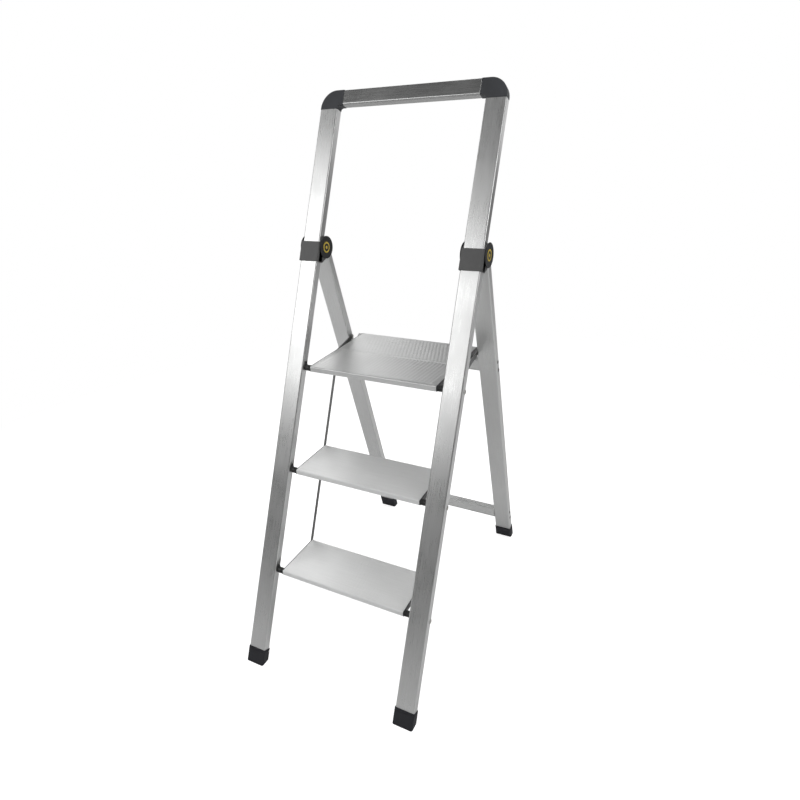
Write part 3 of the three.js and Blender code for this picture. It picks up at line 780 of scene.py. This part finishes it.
def ribbed_top(front, back):
    """(y, drop) points of the fine ribs between two depths, back to front, drop below the top."""
    count = int((back - front) // RIB_PITCH)
    pitch = (back - front) / count
    points = []
    for i in range(count, 0, -1):
        start = front + i * pitch
        points += [(start - share * pitch, 0.0) for share in RIB_TOP]
        points += [(start - share * pitch, RIB_HEIGHT) for share in RIB_GROOVE]
    return points


class Plank:
    """A plank's section, with fine ribs on its top."""

    def __init__(self, start, end, nosed):
        self.lower = back_outline(end)
        self.nose = nose_outline() if nosed else seam_outline(start)
        ribs_start = RIBS_BEHIND_NOSE if nosed else start + RIBS_BEHIND_SEAM
        self.ribs = ribbed_top(ribs_start, end - RIBS_BEFORE_BACK)
        self.middle = (start + end) / 2

    def loop(self, x, wave=0.0, slant=0.0):
        """The section at x. Wave lowers the rib tops, and slant moves each along X by its depth."""
        points = [(x, y, z) for y, z in self.lower]
        for y, drop in self.ribs:
            points.append((x + slant * (y - self.middle), y, NOSE - (drop or wave)))
        return points + [(x, y, z) for y, z in self.nose]


def plain_plank(start, end, nosed):
    plank = Plank(start, end, nosed)
    return lambda mesh: skin(mesh, [plank.loop(-PLANK_HALF), plank.loop(PLANK_HALF)])


def waved_plank(start, end, nosed, slant, depth):
    """A platform plank whose rib tops rise and fall, so that the crests line up in stripes."""
    plank = Plank(start, end, nosed)
    count = int(2 * (PLANK_HALF - STRIPE_MARGIN) / STRIPE) * STRIPE_STEPS
    reach = count * STRIPE / STRIPE_STEPS / 2
    loops = [plank.loop(-PLANK_HALF), plank.loop(-reach - STRIPE_RUN_OUT, 0.0, slant)]
    for i in range(count + 1):
        turn = 2 * math.pi * i / STRIPE_STEPS
        wave = depth * (1 - math.cos(turn)) / 2
        loops.append(plank.loop(i * STRIPE / STRIPE_STEPS - reach, wave, slant))
    loops += [plank.loop(reach + STRIPE_RUN_OUT, 0.0, slant), plank.loop(PLANK_HALF)]
    return lambda mesh: skin(mesh, loops)


# ---- End caps, brackets and pins of the treads ----

PEG_Y = (PEG.y - TREAD_PIVOTS[2].y) / MM
PEG_Z = (PEG.z - TREAD_PIVOTS[2].z) / MM
KNUCKLE_BORE = 3.4
KNUCKLE_RIBS = 3
KNUCKLE_GROOVE = 0.9
LUG_RADIUS = 5.5
LUG_TOP = -2.0
PEG_SHOULDER, PEG_RADIUS = 4.5, 3.0
LOWER_PEG_END, PLATFORM_PEG_END = 175.3, 179.2
TONGUE_HEIGHT, TONGUE_TIP, TONGUE_LEAN = 12.0, 3.5, 3.0
BOSS_GROOVE_DEPTH = 0.8
MOULDED_EDGE = 0.6
TREAD_PIN = {"radius": 3.0, "start": 156.0, "face": HALF_WIDTH + 0.1, "head_radius": 5.5, "head": 1.8}


def peg_lug(back):
    """The ear below the end cap that carries the peg."""
    lug = [(PEG_Y - 3 * LUG_RADIUS, LUG_TOP), (PEG_Y - 4.6, PEG_Z - 3.0)]
    lug += arc(PEG_Y, PEG_Z, LUG_RADIUS, 216, 360, 10)
    return lug + [(min(PEG_Y + LUG_RADIUS, back), -5.0), (PEG_Y - LUG_RADIUS, LUG_TOP)]


def knuckle_profile():
    """(radius, x) pairs of the ribbed knuckle that turns against the bracket's boss."""
    start = TREAD_END + 0.5
    step = (KNUCKLE_END - MOULDED_EDGE - END_CAP_OUTSIDE) / KNUCKLE_RIBS
    bottom = KNUCKLE_RADIUS - KNUCKLE_GROOVE
    profile = [(KNUCKLE_BORE, start), (KNUCKLE_RADIUS, start)]
    for i in range(KNUCKLE_RIBS):
        low = END_CAP_OUTSIDE + i * step
        profile += [(KNUCKLE_RADIUS, low + 0.35 * step), (bottom, low + 0.5 * step)]
        profile += [(bottom, low + 0.8 * step), (KNUCKLE_RADIUS, low + 0.95 * step)]
    return profile + [(KNUCKLE_RADIUS - MOULDED_EDGE, KNUCKLE_END), (KNUCKLE_BORE, KNUCKLE_END)]


def peg_profile(end):
    """(radius, x) pairs of the stepped peg that the link rod and the stay arm turn on."""
    start, collar = TREAD_END + 1, ROD_INSIDE - GAP
    profile = [(2.6, start), (PEG_SHOULDER, start), (PEG_SHOULDER, collar - 0.2)]
    profile += [(PEG_SHOULDER - 0.3, collar), (PEG_RADIUS, collar)]
    return profile + [(PEG_RADIUS, end - 0.5), (PEG_RADIUS - 0.5, end), (1.0, end)]


def end_cap(back, peg_end):
    """The moulding on a tread's end, with its ribbed knuckle and the peg of the link rod."""

    def build(mesh):
        outline = back_outline(back) + nose_outline()
        bar(mesh, outline, TREAD_END, END_CAP_OUTSIDE, sideways, 0.9, 3)
        bar(mesh, peg_lug(back), TREAD_END + 0.2, END_CAP_OUTSIDE - 0.1, sideways, 0.5)
        turned(mesh, knuckle_profile(), ring=True)
        turned(mesh, peg_profile(peg_end), PEG_Y, PEG_Z, 32)

    return build


def boss_profile():
    """(radius, x) pairs of the bracket's boss, with one groove round it."""
    end = BRACKET_PLATE + MOULDED_EDGE
    bottom = KNUCKLE_RADIUS - BOSS_GROOVE_DEPTH
    profile = [(KNUCKLE_BORE, BRACKET_BOSS), (KNUCKLE_RADIUS - MOULDED_EDGE, BRACKET_BOSS)]
    profile += [(KNUCKLE_RADIUS, BRACKET_BOSS + MOULDED_EDGE), (KNUCKLE_RADIUS, BRACKET_BOSS + 2.6)]
    profile += [(bottom, BRACKET_BOSS + 3.0), (bottom, BRACKET_BOSS + 3.8)]
    return profile + [(KNUCKLE_RADIUS, BRACKET_BOSS + 4.2), (KNUCKLE_RADIUS, end), (KNUCKLE_BORE, end)]


def tread_bracket(along):
    """A boss in line with the knuckle and a tapered tongue up the rail's inner face."""
    tongue = [(PIVOT_DEPTH + KNUCKLE_RADIUS, along)]
    tongue += arc(PIVOT_DEPTH - TONGUE_LEAN, along + TONGUE_HEIGHT, TONGUE_TIP, 0, 180, 8)
    tongue += arc(PIVOT_DEPTH, along, KNUCKLE_RADIUS, 180, 352, 16)

    def build(mesh):
        bar(mesh, tongue, BRACKET_PLATE, TUBE_INSIDE - GAP, sideways, 0.9, 3)
        turned(mesh, boss_profile(), PIVOT_DEPTH, along, ring=True)

    return build


def tread_pin(along):
    return lambda mesh: rivet(mesh, y=PIVOT_DEPTH, z=along, **TREAD_PIN)


# ---- Linkage ----

LINK_HOLE = 3.3
ROD_WIDTH, ROD_EYE = 6.0, 5.0
ARM_WIDTH, ARM_EYE = 11.0, 6.0
ARM_INSIDE, ARM_OUTSIDE = 179.5, 182.5
STAY_PIN = {"radius": 3.0, "start": TUBE_INSIDE + 4.5, "face": 179.2, "head_radius": 4.6, "head": 1.5}


def eye_ring(eye, start, end):
    """(radius, x) pairs of a ring round a link's hole."""
    edge = 0.4
    ring = [(LINK_HOLE, start), (eye - edge, start), (eye, start + edge)]
    return ring + [(eye, end - edge), (eye - edge, end), (LINK_HOLE, end)]


def flat_link(mesh, first, last, width, eye, start, end):
    """A flat bar between two points given in (y, z), with a round eye at each of its ends."""
    turn = math.degrees(math.atan2(last[1] - first[1], last[0] - first[0]))
    outline = arc(*first, width / 2, turn + 90, turn + 270, 10)
    outline += arc(*last, width / 2, turn - 90, turn + 90, 10)
    bar(mesh, outline, start, end, sideways, 0.5)
    for y, z in (first, last):
        turned(mesh, eye_ring(eye, start, end), y, z, 32, ring=True)


def link_rod(mesh):
    """The thin rod on the inner pegs of the three treads, with an eye at each."""
    offset = Vector((0, PEG.y - TREAD_PIVOTS[2].y, PEG.z - TREAD_PIVOTS[2].z))
    eyes = [(point + offset) / MM for point in TREAD_PIVOTS]
    low, middle, high = [(eye.y, eye.z) for eye in eyes]
    flat_link(mesh, low, high, ROD_WIDTH, ROD_EYE, ROD_INSIDE, ROD_OUTSIDE)
    turned(mesh, eye_ring(ROD_EYE, ROD_INSIDE, ROD_OUTSIDE), *middle, 32, ring=True)


def stay_arm(mesh):
    peg, stay = (PEG.y / MM, PEG.z / MM), (STAY.y / MM, STAY.z / MM)
    flat_link(mesh, peg, stay, ARM_WIDTH, ARM_EYE, ARM_INSIDE, ARM_OUTSIDE)


def stay_pin(mesh):
    """The rivet in the rear leg's inner wall that the stay arm turns on."""
    place = REAR.inverted() @ STAY / MM
    rivet(mesh, y=place.y, z=place.z, **STAY_PIN)


# ---- Assembly ----


def build_front_frame():
    """Rails, hand rail, feet, corner caps, hinge clamps, and what holds the treads."""
    body = "front_frame"
    pair("front_rail", front_rail, FRONT, body, RAIL_METAL)
    # the bar gets the darker copy of the aluminium, which is painted shade
    single("top_rail", hand_rail, FRONT, body, SHADED_HAND_METAL)
    pair("front_foot", front_foot, FRONT, body, RUBBER)
    studs = foot_studs(TUBE_DEPTH, FRONT_STUD_ALONG)
    pair("front_foot_stud", studs, FRONT, body, ZINC, replaced=False)
    pair("corner_cap", corner_cap, FRONT, body, SLATE)
    pair("hinge_clamp", hinge_clamp, FRONT, body, CLAMP_GREY)
    pair("hinge_pin", hinge_pin, FRONT, body, ZINC)
    faces = {"inner": (CLAMP_INSIDE - GAP, -1), "outer": (CLAMP_OUTSIDE + GAP, 1)}
    for name, (base, out) in faces.items():
        disc, mark = cap_disc(base, out), cap_mark(base, out)
        pair("hinge_cap_" + name, disc, FRONT, body, BLACK)
        pair("hinge_mark_" + name, mark, FRONT, body, YELLOW, replaced=False)
    for level, point in enumerate(TREAD_PIVOTS, 1):
        along = along_rail(point, PIVOT_DEPTH)
        bracket, pin = tread_bracket(along), tread_pin(along)
        pair(f"tread_bracket_{level}", bracket, FRONT, body, CHARCOAL)
        pair(f"tread_pin_{level}", pin, FRONT, body, ZINC)


def build_rear_frame():
    """Rear legs with their heads and feet, the two crossbars and their screws."""
    body = "rear_frame"
    pair("rear_leg", rear_leg, REAR, body, LEG_METAL)
    pair("leg_head", leg_head, REAR, body, BLACK)
    pair("rear_foot", rear_foot, REAR, body, RUBBER)
    studs = foot_studs(LEG_FRONT + TUBE_DEPTH, LEG_FLOOR + REAR_STUD_ABOVE)
    pair("rear_foot_stud", studs, REAR, body, ZINC, replaced=False)
    pair("stay_pin", stay_pin, REAR, body, ZINC)
    for name, size in CROSSBARS.items():
        single(f"{name}_crossbar", crossbar(size), REAR, body, CROSS_METAL)
        for number, offset in ((1, -size["screws"]), (2, size["screws"])):
            screw = crossbar_screw(size, offset)
            pair(f"{name}_crossbar_screw_{number}", screw, REAR, body, DARK_STEEL)


def build_treads():
    """The two lower treads, each on its own body."""
    back = TREAD_DEPTH - NOSE
    for number, body in ((1, "lower_tread"), (2, "middle_tread")):
        where = Matrix.Translation(TREAD_PIVOTS[number - 1])
        plank, cap = plain_plank(0.0, back, True), end_cap(back, LOWER_PEG_END)
        # the lower treads get the lighter copy of the tread aluminium, which is painted light
        single(f"tread_{number}", plank, where, body, LIT_STEP_METAL)
        pair(f"tread_{number}_end_cap", cap, where, body, CHARCOAL)


def build_platform():
    """The top tread: two planks side by side between one pair of end caps."""
    body = "platform"
    where = Matrix.Translation(TREAD_PIVOTS[2])
    seam, back = PLANK_DEPTH - NOSE, 2 * PLANK_DEPTH - NOSE
    front = waved_plank(0.0, seam, True, FRONT_SLANT, FRONT_WAVE)
    rear = waved_plank(seam + PLANK_SEAM, back, False, REAR_SLANT, REAR_WAVE)
    cap = end_cap(back, PLATFORM_PEG_END)
    single("platform_front", front, where, body, TREAD_METAL)
    single("platform_rear", rear, where, body, TREAD_METAL)
    pair("platform_end_cap", cap, where, body, CHARCOAL)


def build_linkage():
    """The rods and arms, drawn in the frame's own axes."""
    origin = Matrix.Identity(4)
    pair("link_rod", link_rod, origin, "link_rods", DARK_STEEL)
    pair("stay_arm", stay_arm, origin, "stay_arms", DARK_STEEL)


build_front_frame()
build_rear_frame()
build_treads()
build_platform()
build_linkage()

# ---- Studio ----

FLOOR_RADIUS = 30.0
FLOOR_WHITE = 0.86
FLOOR_LIFT = 0.75  # extra light of the floor, which only the camera sees
FLOOR_FADE = 0.9, 2.2  # where the floor turns into the white background, from the middle
AMBIENT = 0.15
SOFTBOXES = (  # name, place, target, width, height, watts
    ("key", (-2.15, -2.8, 2.62), (0, 0, 0.7), 2.9, 1.85, 35),
    ("back_left", (-3.0, 2.3, 3.05), (0, 0, 0.5), 3.6, 3.4, 38),
    ("top", (0.8, 0.4, 4.4), (0, 0, 0.5), 2.4, 2.4, 62),
    ("right", (3.4, -0.6, 2.4), (0, 0, 0.8), 1.6, 1.6, 26),
    ("back_right", (1.5, 3.6, 1.7), (0.1, 0.1, 0.9), 1.5, 1.7, 6.5),
)
CAMERA_PLACE = Vector((0.644981, -1.09948, 1.209428))
CAMERA_YAW, CAMERA_PITCH, CAMERA_ROLL = (math.radians(a) for a in (28.3833, -25.6643, -3.4205))
CAMERA_LENS = 26.308  # on a sensor 36 mm wide


def grey(value):
    return (value, value, value, 1)


def emptied(owner):
    """The emptied node tree of a material or a world."""
    owner.use_nodes = True
    owner.node_tree.nodes.clear()
    return owner.node_tree


def show_to_camera(tree, shown, otherwise, output):
    """Sends one shader to the camera's rays and another to all other rays."""
    seen = tree.nodes.new("ShaderNodeLightPath")
    mixer = tree.nodes.new("ShaderNodeMixShader")
    tree.links.new(seen.outputs["Is Camera Ray"], mixer.inputs[0])
    tree.links.new(otherwise.outputs[0], mixer.inputs[1])
    tree.links.new(shown.outputs[0], mixer.inputs[2])
    tree.links.new(mixer.outputs[0], output.inputs["Surface"])


def floor_material():
    """Matte white, lifted for the camera, that turns into plain white away from the middle."""
    material = bpy.data.materials.new("floor_white")
    tree = emptied(material)
    matte = tree.nodes.new("ShaderNodeBsdfDiffuse")
    matte.inputs["Color"].default_value = grey(FLOOR_WHITE)
    lift = tree.nodes.new("ShaderNodeEmission")
    lift.inputs["Strength"].default_value = FLOOR_LIFT
    lit = tree.nodes.new("ShaderNodeAddShader")
    tree.links.new(matte.outputs[0], lit.inputs[0])
    tree.links.new(lift.outputs[0], lit.inputs[1])
    place = tree.nodes.new("ShaderNodeTexCoord")
    reach = tree.nodes.new("ShaderNodeVectorMath")
    reach.operation = "LENGTH"
    tree.links.new(place.outputs["Object"], reach.inputs[0])
    fade = tree.nodes.new("ShaderNodeMapRange")
    fade.inputs["From Min"].default_value, fade.inputs["From Max"].default_value = FLOOR_FADE
    tree.links.new(reach.outputs["Value"], fade.inputs["Value"])
    white = tree.nodes.new("ShaderNodeEmission")
    far = tree.nodes.new("ShaderNodeMixShader")
    tree.links.new(fade.outputs["Result"], far.inputs[0])
    tree.links.new(lit.outputs[0], far.inputs[1])
    tree.links.new(white.outputs[0], far.inputs[2])
    show_to_camera(tree, far, matte, tree.nodes.new("ShaderNodeOutputMaterial"))
    return material


def floor():
    """A white floor that fades into the white background."""
    mesh = bmesh.new()
    bmesh.ops.create_circle(mesh, cap_ends=True, radius=FLOOR_RADIUS, segments=64)
    data = bpy.data.meshes.new("floor")
    mesh.to_mesh(data)
    mesh.free()
    data.materials.append(floor_material())
    piece = bpy.data.objects.new("floor", data)
    bpy.context.scene.collection.objects.link(piece)


def softbox(name, place, target, width, height, watts):
    """A rectangular light that faces its target."""
    light = bpy.data.lights.new(name, "AREA")
    light.shape = "RECTANGLE"
    light.size = width
    light.size_y = height
    light.energy = watts
    lamp = bpy.data.objects.new(name, light)
    lamp.location = place
    lamp.rotation_euler = (Vector(target) - Vector(place)).to_track_quat("-Z", "Y").to_euler()
    bpy.context.scene.collection.objects.link(lamp)


def surroundings():
    """A background that is white to the camera and lights the pieces dimly."""
    world = bpy.data.worlds.new("studio")
    tree = emptied(world)
    around, white = (tree.nodes.new("ShaderNodeBackground") for _ in range(2))
    around.inputs["Color"].default_value = grey(AMBIENT)
    white.inputs["Color"].default_value = grey(1)
    show_to_camera(tree, white, around, tree.nodes.new("ShaderNodeOutputWorld"))
    bpy.context.scene.world = world
    bpy.context.scene.view_settings.view_transform = "Standard"


def camera():
    """A camera at the photographed angle: yaw from straight on, pitch down, and a slight roll."""
    level = math.cos(CAMERA_PITCH)
    sideward, forward = -math.sin(CAMERA_YAW) * level, math.cos(CAMERA_YAW) * level
    ahead = Vector((sideward, forward, math.sin(CAMERA_PITCH)))
    right = ahead.cross(Vector((0, 0, 1))).normalized()
    unrolled = Matrix((right, right.cross(ahead), -ahead)).transposed().to_4x4()
    data = bpy.data.cameras.new("camera")
    data.sensor_width = 36.0
    data.lens = CAMERA_LENS
    data.clip_end = 100.0
    shot = bpy.data.objects.new("camera", data)
    rolled = unrolled @ Matrix.Rotation(CAMERA_ROLL, 4, "Z")
    shot.matrix_world = Matrix.Translation(CAMERA_PLACE) @ rolled
    bpy.context.scene.collection.objects.link(shot)
    bpy.context.scene.camera = shot


floor()
for box in SOFTBOXES:
    softbox(*box)
surroundings()
camera()
